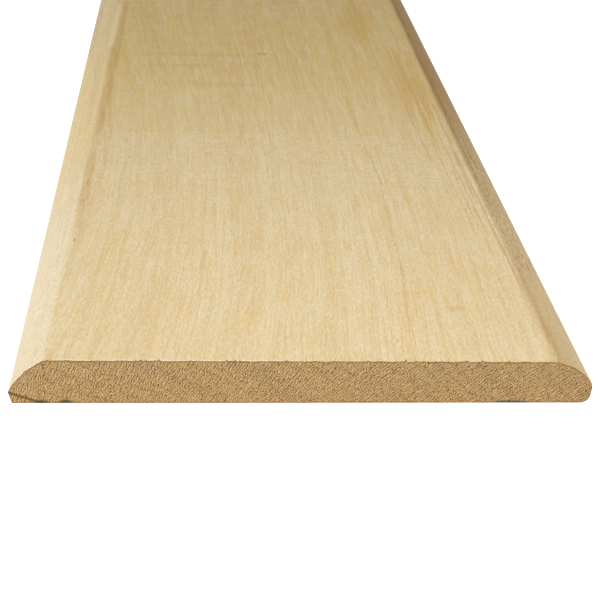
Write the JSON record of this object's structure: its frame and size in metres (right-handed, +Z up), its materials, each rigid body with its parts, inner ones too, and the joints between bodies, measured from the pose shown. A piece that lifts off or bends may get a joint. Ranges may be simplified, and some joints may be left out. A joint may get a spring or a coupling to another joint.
{
  "type": "threshold reducer strip",
  "caption": "Flat hardwood floor threshold strip, long bevelled and rounded side edges, ends sawn square, bare unfinished wood.",
  "frame": {"origin": "middle of the underside, halfway along the strip and halfway across its width", "axes": "+X across the strip, towards the edge with the blunt round nose; +Y along the strip; +Z up, out of the walking face"},
  "size_m": [0.1396, 0.9144, 0.0127],
  "materials": {
    "hardwood": "planed and sanded, unfinished"
  },
  "bodies": {
    "root": {"threshold_strip": "hardwood"}
  },
  "joints": []
}
